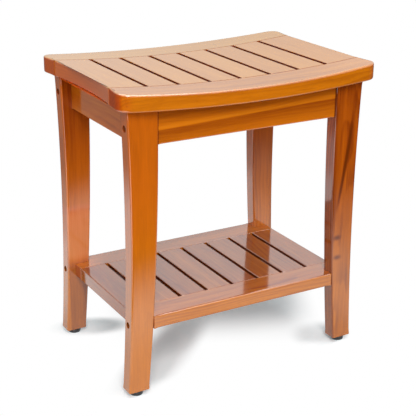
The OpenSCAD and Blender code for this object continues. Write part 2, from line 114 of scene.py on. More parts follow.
def outline(runs, corners):
    """A closed plan line. Each run is cut back at its ends by radius x tan(half the
    turn), and a conic with the weight cos(half the turn), which is an exact arc,
    joins it to the next. Returns the points, how far each is from a corner and
    that corner's radius."""
    count = len(runs)
    starts = [run[1] - run[0] for run in runs]
    ends = [run[-1] - run[-2] for run in runs]
    turns = []
    for i in range(count):
        a = ends[i - 1] / np.linalg.norm(ends[i - 1])
        b = starts[i] / np.linalg.norm(starts[i])
        turns.append(math.acos(max(-1.0, min(1.0, float(a @ b)))) / 2)
    backs = [corners[i] * math.tan(turns[i]) for i in range(count)]
    trimmed, away = [], []
    for i, run in enumerate(runs):
        length = np.concatenate([[0], np.cumsum(np.linalg.norm(np.diff(run, axis=0), axis=1))])
        at = backs[i] + length / length[-1] * (length[-1] - backs[i] - backs[(i + 1) % count])
        trimmed.append(np.stack([np.interp(at, length, run[:, k]) for k in range(2)], 1))
        away.append(np.minimum(at - backs[i], length[-1] - backs[(i + 1) % count] - at))
    t = np.linspace(0, 1, corner_steps + 2)[1:-1, None]
    parts, offs, rads = [], [], []
    for i in range(count):
        after = (i + 1) % count
        tip = runs[after][0]
        weight = math.cos(turns[after])
        a, b = trimmed[i][-1], trimmed[after][0]
        bottom = (1 - t) ** 2 + 2 * weight * t * (1 - t) + t ** 2
        arc = ((1 - t) ** 2 * a + 2 * weight * t * (1 - t) * tip + t ** 2 * b) / bottom
        parts += [trimmed[i], arc]
        offs += [away[i], np.zeros(corner_steps)]
        half = len(trimmed[i]) // 2
        near = np.where(np.arange(len(trimmed[i])) < half, corners[i], corners[after])
        rads += [near, np.full(corner_steps, corners[after])]
    return np.concatenate(parts), np.concatenate(offs), np.concatenate(rads)


def board(name, runs, edges, corners, low, high, order, mirror):
    """A board cut to an outline, with its arrises rounded. The outline's rings are
    drawn in by r(1 - sin t) and raised by r(1 - cos t) for t from 0 to 90 degrees at
    the lower face, and the same again, turned over, at the upper one. A ring either
    side of each rounding keeps the faces flat, and near a corner r stays within that
    corner's own radius. low and high give the faces' heights over the outline's
    plane. Each face is closed by a ladder of quads from one side of the outline to
    the other, and starts in the middle of the last run. order says which of the
    outline's two axes and the thickness is X, Y and Z, and mirror turns the board
    over to stand on the other side."""
    points, away, radii = outline(runs, corners)
    edge = np.concatenate([
        np.concatenate([np.full(len(run), e),
                        np.full(corner_steps, (e + edges[(i + 1) % len(runs)]) / 2)])
        for i, (run, e) in enumerate(zip(runs, edges))
    ])
    hold = 0.5 * MM
    edge = np.minimum(edge, radii - hold * 0.9 + 0.35 * away)
    first = len(points) - corner_steps - len(runs[-1]) // 2
    points, edge = np.roll(points, -first, axis=0), np.roll(edge, -first)
    along = np.roll(points, -1, axis=0) - np.roll(points, 1, axis=0)
    inward = np.stack([-along[:, 1], along[:, 0]], 1) / np.linalg.norm(along, axis=1)[:, None]
    turn = np.radians(np.linspace(0, 90, 6))
    inset = np.concatenate([[1.0], 1 - np.sin(turn), [0.0]])
    lift = np.concatenate([[0.0], 1 - np.cos(turn), [1.0]])
    ring = np.arange(len(inset))
    spare_in = hold * (ring == 0)
    spare_up = hold * (ring == ring[-1])
    rows = []
    for upper in (False, True):
        for k in ring[:: -1 if upper else 1]:
            flat = points + inward * (inset[k] * edge + spare_in[k])[:, None]
            face = high(*flat.T) if upper else low(*flat.T)
            shift = lift[k] * edge + spare_up[k]
            rows.append(np.column_stack([flat, face - shift if upper else face + shift]))
    grid = np.stack(rows)
    levels, around = grid.shape[:2]
    index = np.arange(levels * around).reshape(levels, around)
    after = np.roll(index, -1, axis=1)
    walls = np.stack([index[:-1], after[:-1], after[1:], index[1:]], -1).reshape(-1, 4)
    step = np.arange(around // 2 - 1)
    rungs = np.stack([step, step + 1, around - 2 - step, around - 1 - step], -1)
    faces = np.concatenate([walls, rungs[:, ::-1], rungs + (levels - 1) * around])
    return shell(name, grid.reshape(-1, 3)[:, list(order)] * mirror, faces)


def shell(name, points, faces):
    """A closed mesh from its points and faces, with repeats merged, every face
    turned outwards and shaded smooth."""
    mesh = bpy.data.meshes.new(name)
    mesh.from_pydata(points.tolist(), [], faces.tolist())
    work = bmesh.new()
    work.from_mesh(mesh)
    bmesh.ops.remove_doubles(work, verts=work.verts, dist=1e-7)
    bmesh.ops.recalc_face_normals(work, faces=work.faces)
    for face in work.faces:
        face.smooth = True
    work.to_mesh(mesh)
    work.free()
    piece = bpy.data.objects.new(name, mesh)
    bpy.context.scene.collection.objects.link(piece)
    return piece


class Wire:
    """A number on its way through a finish: arithmetic on it adds Math nodes."""

    def __init__(self, finish, socket):
        self.finish = finish
        self.socket = socket

    def math(self, operation, *others):
        values = dict(enumerate((self, *others)))
        return self.finish.node("ShaderNodeMath", {"operation": operation}, values)

    def __add__(self, other):
        return self.math("ADD", other)

    __radd__ = __add__

    def __mul__(self, other):
        return self.math("MULTIPLY", other)

    __rmul__ = __mul__

    def __sub__(self, other):
        return self.math("SUBTRACT", other)

    def __rsub__(self, other):
        return self * -1.0 + other

    def __truediv__(self, other):
        return self.math("DIVIDE", other)

    def __pow__(self, other):
        return self.math("POWER", other)

    def __abs__(self):
        return self.math("ABSOLUTE")


class Finish:
    """The node tree of one finish, or of the studio's walls."""

    def __init__(self, name, kind="materials"):
        self.owner = getattr(bpy.data, kind).new(name)
        self.owner.use_nodes = True
        self.tree = self.owner.node_tree
        self.tree.nodes.clear()
        self.end = "World" if kind == "worlds" else "Material"

    def node(self, kind, settings=None, inputs=None, output=0):
        """Adds a node of a kind, with its settings set first and then its inputs."""
        made = self.tree.nodes.new(kind)
        for key, value in (settings or {}).items():
            if key == "stops":
                ramp = made.color_ramp
                ramp.elements.remove(ramp.elements[-1])
                ramp.elements[0].position = value[0][0]
                ramp.elements[0].color = (*value[0][1], 1.0)
                for place, colour in value[1:]:
                    ramp.elements.new(place).color = (*colour, 1.0)
            else:
                setattr(made, key, value)
        for key, value in (inputs or {}).items():
            if isinstance(value, Wire):
                self.tree.links.new(value.socket, made.inputs[key])
            else:
                made.inputs[key].default_value = value
        return Wire(self, made.outputs[output])

    def parts(self, vector, axes="XYZ"):
        """The numbers that a vector is made of, one for each axis named."""
        return [self.node("ShaderNodeSeparateXYZ", inputs={0: vector}, output=axis)
                for axis in axes]

    def close(self, shader):
        """Links the finished shader to the output and returns what it belongs to."""
        end = self.tree.nodes.new("ShaderNodeOutput" + self.end)
        self.tree.links.new(shader.socket, end.inputs["Surface"])
        return self.owner


def smooth_step(wire, low, high):
    """0 below low, 1 above high, and an easy S between them."""
    return wire.finish.node(
        "ShaderNodeMapRange",
        {"interpolation_type": "SMOOTHSTEP"},
        {"Value": wire, "From Min": low, "From Max": high, "To Min": 0.0, "To Max": 1.0},
    )


def hump(wire, centre, width):
    """1 at centre and falling away as a bell: exp(-((x - centre) / width)^2)."""
    off = (wire - centre) / width
    return (off * off * -1.0).math("EXPONENT")


def streaks(finish, space, widths, detail=2.0, rough=0.55):
    """Noise drawn out along the grain: widths are its size in mm in each direction."""
    scaled = [axis / width for axis, width in zip(space, widths)]
    vector = finish.node("ShaderNodeCombineXYZ", inputs=dict(enumerate(scaled)))
    return finish.node(
        "ShaderNodeTexNoise",
        {"noise_dimensions": "3D"},
        {"Vector": vector, "Scale": 1.0, "Detail": detail, "Roughness": rough},
    )


cut_places = np.random.default_rng(7)
ring_mm = 5.6


def teak(name, along, pith, tone=0.0, figure=1.0, red=0.0, gap_shade=0.0, bare_ends=0.0,
         marks_and_shade=None, golden=None, painted_sheen=None, bare=None):
    """Clear-varnished teak with its grain along one axis. The tone is the sum of: the
    growth rings, which are the distance from the pith warped by slow noise, in steps
    of one ring; broad bands; fine fibres; veins; and short pores, all drawn out along
    the grain. figure is how strong the rings, bands and veins are, and red turns the
    paler tones from orange to red. End grain is darker and, by bare_ends, has less
    varnish. The faces in the water gaps get painted shade, as much as sides says.
    marks(axes) adds a board's own dark places and its painted shade, golden(axes)
    its yellower ones and milky(axes) a painted sheen that stands in for a
    reflection in the varnish, and bare(axes) takes the varnish off, with the axes
    in millimetres of the bench. Each board is cut from its own place in the noise."""
    finish = Finish(name)
    point = finish.node("ShaderNodeTexCoord", output="Object")
    axes = [part / MM for part in finish.parts(point)]
    order = {"X": (1, 2, 0), "Y": (0, 2, 1), "Z": (1, 0, 2)}[along]
    cut_from = [float(v) for v in cut_places.uniform(-400, 400, 3)]
    space = [axes[i] + place for i, place in zip(order, cut_from)]
    drift = (streaks(finish, space, (60.0, 60.0, 300.0)) - 0.5) * 46.0
    wobble = (streaks(finish, space, (12.0, 12.0, 110.0)) - 0.5) * 5.0
    reach = [axes[i] - place for i, place in zip(order, pith)]
    radius = (reach[0] * reach[0] + reach[1] * reach[1]) ** 0.5 + drift + wobble
    phase = (radius / ring_mm).math("FRACT")
    late = smooth_step(phase, 0.15, 0.85) * (1.0 - smooth_step(phase, 0.88, 1.0))
    patchy = smooth_step(streaks(finish, space, (24.0, 24.0, 170.0)), 0.35, 0.70)
    bands = streaks(finish, space, (13.0, 13.0, 240.0))
    fibres = streaks(finish, space, (0.9, 0.9, 34.0), 4.0, 0.65)
    pores = smooth_step(streaks(finish, space, (0.4, 0.4, 5.0), 2.0, 0.7), 0.60, 0.76)
    veins = smooth_step(streaks(finish, space, (4.5, 4.5, 200.0), 3.0, 0.6), 0.62, 0.76)
    shade = (
        0.52 + tone
        - late * (0.03 + patchy * 0.14) * figure
        + (bands - 0.5) * 0.55 * figure
        + (fibres - 0.5) * 0.22
        - veins * 0.22 * figure
        - pores * 0.08
    )
    if marks_and_shade:
        shade = shade - marks_and_shade(axes)
    normal = finish.node("ShaderNodeNewGeometry", output="Normal")
    end_grain = smooth_step(abs(finish.parts(normal, along)[0]), 0.72, 0.98)
    shade = shade + (0.36 - shade) * end_grain * 0.65
    # Painted shade on the slats' faces inside the water gaps.
    if gap_shade:
        across = abs(finish.parts(normal, "X")[0])
        inner = 1.0 - smooth_step(abs(axes[0]), 168.0, 172.0)
        shade = shade - smooth_step(across, 0.75, 0.97) * inner * gap_shade
    darkest = (0.15, 0.026, 0.001)
    dark = (0.25, 0.040, 0.002)
    mid = (0.62, 0.150 - 0.045 * red, 0.003)
    pale = (0.86, 0.30 - 0.07 * red, 0.012)
    colour = finish.node(
        "ShaderNodeValToRGB",
        {"stops": [(0.0, darkest), (0.22, dark), (0.55, mid), (0.95, pale)]},
        {"Fac": shade},
    )
    green = 1.0 - end_grain * 0.30
    if golden:
        green = green + golden(axes) * 0.35
    # A painted sheen: the colour is paled where it stands in for a reflection in the varnish.
    blue = 1.0 + painted_sheen(axes) * 11.0 if painted_sheen else 1.0
    gain = finish.node("ShaderNodeCombineXYZ", inputs={0: 1.0, 1: green, 2: blue})
    colour = finish.node("ShaderNodeVectorMath", {"operation": "MULTIPLY"}, {0: colour, 1: gain})
    coat = 1.0 - end_grain * bare_ends if bare_ends else 1.0
    if bare:
        coat = coat * (1.0 - bare(axes))
    height = (fibres - 0.5) * 0.30 - pores * 0.45 - late * 0.15
    bump = finish.node(
        "ShaderNodeBump", inputs={"Strength": 0.25, "Distance": 0.10 * MM, "Height": height}
    )
    shader = finish.node(
        "ShaderNodeBsdfPrincipled",
        inputs={
            "Base Color": colour, "Roughness": 0.36 + (fibres - 0.5) * 0.15, "Normal": bump,
            "Specular IOR Level": 0.0, "Coat Weight": coat, "Coat Roughness": 0.09,
            "Coat IOR": 1.8,
        },
    )
    return finish.close(shader)


def fit(piece, node, material):
    """Gives a piece its finish and puts it in its CAD node's place and body."""
    piece.data.materials.clear()
    piece.data.materials.append(material)
    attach(piece, nodes[node]["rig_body"])
    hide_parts(node)


def seat_rail(name, side, finish):
    """The outline runs along the bowed edge, round an end, back along the straight
    inner edge and round the other end."""
    x = np.linspace(-seat_half_l, seat_half_l, 90)
    y = np.linspace(-(seat_half_w - seat_bow), -rail_inner_y, 6)
    inner_x = -x * seat_end_x(rail_inner_y) / seat_half_l
    runs = [
        np.column_stack([x, -bowed_y(x)]),
        np.column_stack([seat_end_x(y), y]),
        np.column_stack([inner_x, np.full_like(x, -rail_inner_y)]),
        np.column_stack([-seat_end_x(y), y])[::-1],
    ]
    edges = [seat_edge, seat_edge, joint_edge, seat_edge]
    corners = [seat_corner, seat_corner, joint_corner, joint_corner]
    piece = board(name, runs, edges, corners, seat_face(seat_under), seat_face(seat_top),
                  (0, 1, 2), (1, -side, 1))
    fit(piece, name, finish)


def seat_face(height):
    """A face of the seat as a function of the place in plan."""
    return lambda x, y: height(x)


def below_top(axes):
    """How far a place is below the seat's dished top, in millimetres, with the arc
    taken as x^2 / 2r."""
    twice_radius = 2 * arc_radius(seat_half_l, seat_dip) / MM
    return axes[0] * axes[0] / twice_radius + seat_top_mid / MM - axes[2]


def rail_hue(axes):
    """The rails are more golden on top than on their edges, and red at their ends and
    a little along the seat's back edge."""
    edge = smooth_step(below_top(axes), 0.2, 1.8)
    ends = smooth_step(abs(axes[0]), 190.0, 201.0)
    back = smooth_step(axes[1], 120.0, 140.0) * (1.0 - ends)
    return 0.7 - edge * (0.7 + ends * 0.45 + back * 0.4)


def joint_groove(axes):
    """The fine groove of a joint between rail and slat, on top only."""
    groove = hump(abs(axes[1]), rail_inner_y / MM, 0.9)
    return groove * (1.0 - smooth_step(below_top(axes), 0.8, 2.0))


def joint_line_and_gap_shade(axes):
    """The wood in the groove is a little darker, and the rails' walls in the water
    gaps get painted shade, less towards the seat's ends."""
    deep = smooth_step(below_top(axes), 0.8, 2.0)
    # Painted shade on the rails' walls in the water gaps.
    inside = 1.0 - smooth_step(abs(axes[1]) - rail_inner_y / MM, 0.4, 1.2)
    inside = inside * (1.0 - smooth_step(abs(axes[0]), 198.0, 202.0) * 0.5)
    return joint_groove(axes) * 0.3 + inside * deep * 0.3


seat_rail("seat_front_rail", -1, teak(
    "front_rail_teak", "X", pith=(-150.0, 395.0), figure=0.5, red=-0.6, tone=-0.02,
    marks_and_shade=joint_line_and_gap_shade, golden=rail_hue, bare_ends=0.75, bare=joint_groove))
seat_rail("seat_back_rail", 1, teak(
    "back_rail_teak", "X", pith=(165.0, 400.0), figure=0.35, red=-1.4, tone=0.03,
    marks_and_shade=joint_line_and_gap_shade, golden=rail_hue, bare_ends=0.35, bare=joint_groove))


# ----------------------------------------
# Seat slats: eight teak boards tenoned between the rails with gaps for the water.
# The inner six have eased long edges, and the end two carry the seat's hollow ends.
slat_count = 8
seat_slat_w = 43.4 * MM
seat_slat_gap = 6.0 * MM
slat_edge = 0.9 * MM
slat_corner = 1.5 * MM


def slat_joint(axes):
    """The slats' wood is a little darker in the groove too."""
    return joint_groove(axes) * 0.3


def red_edge(axes):
    """The end slats' outer edges, below the rounding of the top, are redder."""
    return smooth_step(below_top(axes), 0.8, 2.4) * -1.4


def crosswise_board(name, left, right, half, edges, low, high, finish):
    """A board that runs from -half to half, front to back. Its left and right edges
    are each one x, or a row of them from front to back."""
    ends = [np.linspace(0, 1, 18), np.linspace(1, 0, 18)]
    y = np.linspace(-half, half, max(np.size(left), np.size(right), 2))
    left_x = np.broadcast_to(left, y.shape)
    right_x = np.broadcast_to(right, y.shape)
    span = right_x[0] - left_x[0]
    runs = [
        np.column_stack([left_x[0] + span * ends[0], np.full(18, -half)]),
        np.column_stack([right_x, y]),
        np.column_stack([left_x[0] + span * ends[1], np.full(18, half)]),
        np.column_stack([left_x, y])[::-1],
    ]
    piece = board(name, runs, edges, [slat_corner] * 4, low, high, (0, 1, 2), (1, 1, 1))
    fit(piece, name, finish)


seat_pitch = seat_slat_w + seat_slat_gap
hollow = seat_end_x(np.linspace(-rail_inner_y, rail_inner_y, 24))
for i in range(slat_count):
    name = f"seat_slat_{i + 1}"
    left = (i - slat_count / 2) * seat_pitch + seat_slat_gap / 2
    right = left + seat_slat_w
    edges = [joint_edge, slat_edge, joint_edge, slat_edge]
    if i == 0:
        left, edges[3] = -hollow, seat_edge
    if i == slat_count - 1:
        right, edges[1] = hollow, seat_edge
    tone = (0.035, 0.005, 0.045, 0.015, 0.065, -0.005, 0.035, 0.005)[i]
    finish = teak(f"{name}_teak", "Y", pith=(0.0 if i else -170.0, 380.0 - 12.0 * (i % 3)),
                  tone=tone, figure=0.25, red=-1.9, gap_shade=0.42, marks_and_shade=slat_joint,
                  bare=joint_groove, golden=red_edge if i in (0, slat_count - 1) else None)
    crosswise_board(name, left, right, rail_inner_y, edges, seat_face(seat_under),
                    seat_face(seat_top), finish)


# ----------------------------------------
# Aprons: four teak boards on edge under the seat, between the legs. Their top
# edges are sawn to the seat's arched underside, and their lower arrises rounded.
leg_out_y = 125.4 * MM
leg_thick = 22.3 * MM
leg_y = leg_out_y - leg_thick / 2
leg_inner_top = 147.274 * MM
apron_bottom = 377.5 * MM
apron_thick = 17.0 * MM
apron_edge = 2.0 * MM
butt_edge = 0.35 * MM
butt_corner = 0.9 * MM
side_apron_thick = 18.0 * MM
side_apron_x = 167.7 * MM
bolt_z = 403.6 * MM
nut_in = 24.0 * MM
nut_r = 5.0 * MM
nut_sink = 14.0 * MM
screw_x = 70.0 * MM
screw_y = 52.0 * MM
screw_bore_r = 4.3 * MM
screw_sink = 18.0 * MM


def plane(height):
    """A flat face of a board, as a function of the place in its outline's plane."""
    return lambda a, b: np.full_like(a, height)


def drill(piece, holes):
    """Bores blind holes. A hole is its mouth, the way it goes, its radius and depth,
    and its cutter is a cylinder that stands out of the mouth by 1 mm."""
    around = 48
    circle = np.linspace(0, 2 * np.pi, around, endpoint=False)
    index = np.arange(around)
    after = np.roll(index, -1)
    walls = np.column_stack([index, after, after + around, index + around])
    askew = (0.3, 0.5, 0.8)
    points, faces = [], []
    for mouth, way, radius, depth in holes:
        way = np.asarray(way, float)
        side = np.cross(way, askew)
        side /= np.linalg.norm(side)
        other = np.cross(way, side)
        ring = radius * (np.outer(np.cos(circle), side) + np.outer(np.sin(circle), other))
        near = np.asarray(mouth) - way * MM
        far = np.asarray(mouth) + way * depth
        start = len(points) * 2 * around
        points.append(np.concatenate([ring + near, ring + far]))
        faces += (walls + start).tolist()
        faces += [(index[::-1] + start).tolist(), (index + around + start).tolist()]
    mesh = bpy.data.meshes.new("cutter")
    mesh.from_pydata(np.concatenate(points).tolist(), [], faces)
    cutter = bpy.data.objects.new("cutter", mesh)
    work = bmesh.new()
    work.from_mesh(mesh)
    bmesh.ops.recalc_face_normals(work, faces=work.faces)
    work.to_mesh(mesh)
    work.free()
    bpy.context.scene.collection.objects.link(cutter)
    cut = piece.modifiers.new("drill", "BOOLEAN")
    cut.object = cutter
    cut.solver = "EXACT"
    graph = bpy.context.evaluated_depsgraph_get()
    bored = bpy.data.meshes.new_from_object(piece.evaluated_get(graph))
    piece.modifiers.clear()
    piece.data = bored
    bored.set_sharp_from_angle(angle=math.radians(40))
    bpy.data.objects.remove(cutter)


def long_apron(name, side, finish):
    """The outline, in the X and Z plane, rises to the seat's underside."""
    x = np.linspace(-leg_inner_top, leg_inner_top, 60)
    ends = [(x[-1], apron_bottom), (x[-1], seat_under(x[-1]))]
    runs = [
        np.column_stack([x, np.full(60, apron_bottom)]),
        np.array(ends),
        np.column_stack([x, seat_under(x)])[::-1],
        np.array(ends)[::-1] * (-1, 1),
    ]
    edges = [apron_edge, butt_edge, butt_edge, butt_edge]
    near = leg_y - apron_thick / 2
    far = leg_y + apron_thick / 2
    piece = board(name, runs, edges, [butt_corner] * 4, plane(near), plane(far),
                  (0, 2, 1), (1, side, 1))
    nut_x = leg_inner_top - nut_in
    holes = [((turn * nut_x, side * near, bolt_z), (0, side, 0), nut_r, nut_sink)
             for turn in (-1, 1)]
    holes += [((turn * screw_x, side * leg_y, apron_bottom), (0, 0, 1), screw_bore_r, screw_sink)
              for turn in (-1, 1)]
    drill(piece, holes)
    fit(piece, name, finish)


def side_apron(name, side, finish):
    """The outline, in the Y and Z plane, is square, and is then sheared so that its
    top follows the seat's underside across its thickness."""
    half = leg_y - leg_thick / 2
    top = seat_under(side_apron_x)
    y = np.linspace(-half, half, 40)
    runs = [
        np.column_stack([y, np.full(40, apron_bottom)]),
        np.array([(half, apron_bottom), (half, top)]),
        np.column_stack([y, np.full(40, top)])[::-1],
        np.array([(-half, top), (-half, apron_bottom)]),
    ]
    near = side_apron_x - side_apron_thick / 2
    far = side_apron_x + side_apron_thick / 2
    edges = [apron_edge, butt_edge, butt_edge, butt_edge]
    piece = board(name, runs, edges, [butt_corner] * 4, plane(near), plane(far),
                  (2, 0, 1), (side, 1, 1))
    points = np.empty(len(piece.data.vertices) * 3)
    piece.data.vertices.foreach_get("co", points)
    points = points.reshape(-1, 3)
    share = (points[:, 2] - apron_bottom) / (top - apron_bottom)
    points[:, 2] += share * (seat_under(points[:, 0]) - top)
    piece.data.vertices.foreach_set("co", points.ravel())
    drill(piece, [((side * side_apron_x, turn * screw_y, apron_bottom), (0, 0, 1),
                   screw_bore_r, screw_sink) for turn in (-1, 1)])
    fit(piece, name, finish)


def apron_figure_and_seam_shade(axes):
    """Two wide growth rings run the length of the front apron: each darkens slowly
    upwards, and the lower one ends in a sharp line that climbs to the right. The
    seams against the legs get painted shade, the shadow of the step where the apron
    stands back from the legs."""
    line = axes[0] * 0.033 + 402.0
    below = line - axes[2]
    lower = smooth_step(below, -0.8, 0.8) * (1.0 - smooth_step(below, 1.0, 24.0)) * 0.20
    upper = smooth_step(below * -1.0, 1.0, 20.0) * 0.13
    glow = hump(below, -3.0, 3.0) * 0.10
    # Painted shade in the seams against the legs.
    seam = smooth_step(abs(axes[0]), 145.6, 147.0) * 0.35
    return lower + upper - glow + seam


long_apron("front_apron", -1, teak(
    "front_apron_teak", "X", pith=(-100.0, 250.0), tone=0.02, figure=0.35, red=-0.2,
    marks_and_shade=apron_figure_and_seam_shade))
long_apron("back_apron", 1, teak("back_apron_teak", "X", pith=(150.0, 330.0)))
side_apron("left_apron", -1, teak(
    "left_apron_teak", "Y", pith=(-120.0, 360.0), figure=0.8, red=0.2, tone=0.09))
side_apron("right_apron", 1, teak("right_apron_teak", "Y", pith=(120.0, 340.0)))


# ----------------------------------------
# Legs: four teak boards sawn to two long arcs, so that each leg is hollow outside
# and sweeps out to its foot. Bolts pass through them into the aprons and shelf.
leg_waist_x = 190.5 * MM
leg_waist_z = 252.0 * MM
leg_outer_r = 4000.0 * MM
leg_inner_r = 4360.0 * MM
leg_upright_z = 400.0 * MM
leg_bottom = 7.2 * MM
leg_top_x = 193.5 * MM
leg_edge = 2.6 * MM
leg_corner = 1.6 * MM
sole_edge = 1.0 * MM
seam_x = 147.4 * MM
shelf_mid_z = 112.85 * MM
counterbore_r = 4.7 * MM
counterbore_l = 10.0 * MM
insert_r = 4.5 * MM
insert_l = 16.0 * MM


def leg_outer(z):
    """The hollow outer edge: an arc, furthest in at the waist."""
    return leg_waist_x + arc_rise(leg_outer_r, z - leg_waist_z)


def leg_inner(z):
    """The inner edge: upright at the top and swept out to the foot."""
    return leg_inner_top + arc_rise(leg_inner_r, np.minimum(z - leg_upright_z, 0))


foot_x = (leg_inner(leg_bottom) + leg_outer(leg_bottom)) / 2


def leg(name, side_x, side_y, finish):
    """The outline, in the X and Z plane, goes up the outer edge and down the inner."""
    top_out = leg_outer(seat_under(leg_top_x))
    top_in = leg_inner(seat_under(leg_inner_top))
    up = np.linspace(leg_bottom, seat_under(top_out), 48)
    down = np.linspace(leg_bottom, seat_under(top_in), 48)[::-1]
    outer = np.column_stack([leg_outer(up), up])
    inner = np.column_stack([leg_inner(down), down])
    runs = [outer, np.array([outer[-1], inner[0]]), inner, np.array([inner[-1], outer[0]])]
    edges = [leg_edge, butt_edge, leg_edge, sole_edge]
    piece = board(name, runs, edges, [leg_corner, butt_corner, butt_corner, leg_corner],
                  plane(leg_out_y - leg_thick), plane(leg_out_y), (0, 2, 1), (side_x, side_y, 1))
    holes = [((side_x * leg_outer(z), side_y * leg_y, z), (-side_x, 0, 0), counterbore_r,
              counterbore_l) for z in (bolt_z, shelf_mid_z)]
    holes.append(((side_x * foot_x, side_y * leg_y, leg_bottom), (0, 0, 1), insert_r, insert_l))
    drill(piece, holes)
    fit(piece, name, finish)


def bore_and_seam_shade(axes):
    """The walls of the bolts' holes, and the seams against the aprons, are darkened
    with painted shade.
    """
    # Painted shade in the seams against the aprons and in the bolt holes.
    beside_apron = smooth_step(axes[2] - apron_bottom / MM, -1.5, 0.5)
    dark = hump(abs(axes[0]), seam_x / MM, 0.9) * beside_apron * 0.40
    for height in (bolt_z, shelf_mid_z):
        off = ((abs(axes[1]) - leg_y / MM) ** 2.0 + (axes[2] - height / MM) ** 2.0) ** 0.5
        dark = (1.0 - smooth_step(off - counterbore_r / MM, 0.1, 0.4)) * 0.30 + dark
    return dark


def lower_end(axes):
    """The legs are more golden towards their feet."""
    return 1.0 - smooth_step(axes[2], 90.0, 340.0)


def right_leg_figure_and_shade(axes):
    """A dark vein that curves down across the front face, and two small knots. The
    board is also darker towards its top, and along its inner face with painted shade."""
    run = (axes[2] - 231.0) / 150.0
    vein = hump(axes[0], 159.5 + run * 24.0 - run * run * 2.5, 2.0 + run * 1.6)
    ends = smooth_step(axes[2], 222.0, 262.0) * (1.0 - smooth_step(axes[2], 300.0, 400.0) * 0.75)
    knots = hump(axes[0], 162.1, 5.5) * hump(axes[2], 182.8, 3.4)
    knots = knots + hump(axes[0], 164.2, 5.5) * hump(axes[2], 149.5, 3.4)
    front = smooth_step(axes[1] * -1.0, 100.0, 112.0)
    # Painted shade along the inner face, which sweeps out to the foot.
    swept = (axes[2] - leg_upright_z / MM).math("MINIMUM", 0.0)
    inner_x = swept ** 2.0 / (2 * leg_inner_r / MM) + leg_inner_top / MM
    inside = (1.0 - smooth_step(axes[0] - inner_x, 0.6, 2.4)) * 0.20
    inside = inside * (1.0 - smooth_step(axes[2], 260.0, 310.0) * 0.6)
    rise = smooth_step(axes[2], 110.0, 330.0) * 0.09
    return (vein * ends * 0.42 + knots * 0.40) * front + inside + rise + bore_and_seam_shade(axes)


def back_leg_light_and_shade(axes):
    """Painted light and shade: the board is darker towards its top, in the seat's
    shade, and below the shelf, in shadow, and lighter just above the shelf, but not
    along its hollow outer edge."""
    # Painted shadow below the shelf, and painted light just above it.
    low = (1.0 - smooth_step(axes[2], 110.0, 135.0)) * 0.16
    light = smooth_step(axes[2], 118.0, 140.0) * (1.0 - smooth_step(axes[2], 200.0, 226.0)) * 0.20
    inner = 1.0 - smooth_step(axes[0] * -1.0, 189.5, 192.0)
    return (smooth_step(axes[2], 200.0, 400.0) * 0.20 + low - light) * inner + bore_and_seam_shade(axes)


def low_front_sheen(axes):
    """A paler place a short way up from the shelf: a painted sheen that stands in for
    a reflection in the varnish.
    """
    return (1.0 - smooth_step(axes[2], 214.0, 226.0)) * smooth_step(axes[2], 112.0, 123.0)


leg("leg_front_left", -1, -1, teak(
    "front_left_leg_teak", "Z", pith=(-60.0, -170.0), figure=0.25, tone=-0.03, red=0.3,
    marks_and_shade=bore_and_seam_shade, golden=lower_end))
leg("leg_front_right", 1, -1, teak(
    "front_right_leg_teak", "Z", pith=(-60.0, 168.0), figure=0.8, tone=-0.07, red=0.4,
    marks_and_shade=right_leg_figure_and_shade, golden=lower_end))
leg("leg_back_left", -1, 1, teak(
    "back_left_leg_teak", "Z", pith=(150.0, -150.0), figure=0.4, tone=-0.02, red=0.3,
    marks_and_shade=back_leg_light_and_shade, golden=lower_end, painted_sheen=low_front_sheen))
leg("leg_back_right", 1, 1, teak(
    "back_right_leg_teak", "Z", pith=(60.0, 120.0), figure=0.5, tone=-0.05, red=0.3,
    marks_and_shade=bore_and_seam_shade, golden=lower_end))


# ----------------------------------------
# Shelf rails: two teak boards, notched round the legs and bolted to them through
# barrel nuts, that carry the shelf slats.
shelf_half_l = 180.0 * MM
shelf_half_w = 124.75 * MM
shelf_top = 123.0 * MM
shelf_under = 102.7 * MM
shelf_rail_y = 82.25 * MM
shelf_edge = 2.6 * MM
notch_y = leg_out_y - leg_thick - 0.5 * MM
shoulder_x = 156.082 * MM
shelf_nut_x = 132.082 * MM
shelf_nut_sink = 18.0 * MM


def shelf_rail(name, side, finish):
    """The outline takes in both notches. The ladder pairs the straight inner edge with
    the whole of the notched one, so the inner edge has as many points, spread in the
    same way: over each notch, close together behind its wall, and along the rest."""
    x = np.linspace(-shoulder_x, shoulder_x, 60)
    notch = np.linspace(-shelf_half_l, -shoulder_x, 8)
    wall = np.linspace(-notch_y, -shelf_half_w, 6)
    end = np.array([(shelf_half_l, -notch_y), (shelf_half_l, -shelf_rail_y)])
    notch_side = np.column_stack([notch, np.full(len(notch), -notch_y)])
    notch_wall = np.column_stack([np.full(len(wall), -shoulder_x), wall])
    behind_wall = np.linspace(0, 1, 13) * MM * 3 - shoulder_x
    facing = np.concatenate([notch, behind_wall])
    shift = np.linspace(0, 1, len(facing)) * MM
    spread = np.sort(np.concatenate([facing + shift, x[1:-1] * 0.965, -facing[::-1]]))
    count = 4 * corner_steps + 2 * (len(notch) + len(wall)) + len(x)
    inner_x = np.interp(np.linspace(0, 1, count), np.linspace(0, 1, len(spread)), spread)
    runs = [
        notch_side,
        notch_wall,
        np.column_stack([x, np.full(len(x), -shelf_half_w)]),
        notch_wall[::-1] * (-1, 1),
        notch_side[::-1] * (-1, 1),
        end,
        np.column_stack([inner_x[::-1], np.full(count, -shelf_rail_y)]),
        end[::-1] * (-1, 1),
    ]
    edges = [butt_edge, butt_edge, shelf_edge, butt_edge,
             butt_edge, shelf_edge, joint_edge, shelf_edge]
    piece = board(name, runs, edges, [butt_corner] * 8, plane(shelf_under), plane(shelf_top),
                  (0, 1, 2), (1, -side, 1))
    drill(piece, [((turn * shelf_nut_x, side * leg_y, shelf_under), (0, 0, 1), nut_r,
                   shelf_nut_sink) for turn in (-1, 1)])
    fit(piece, name, finish)


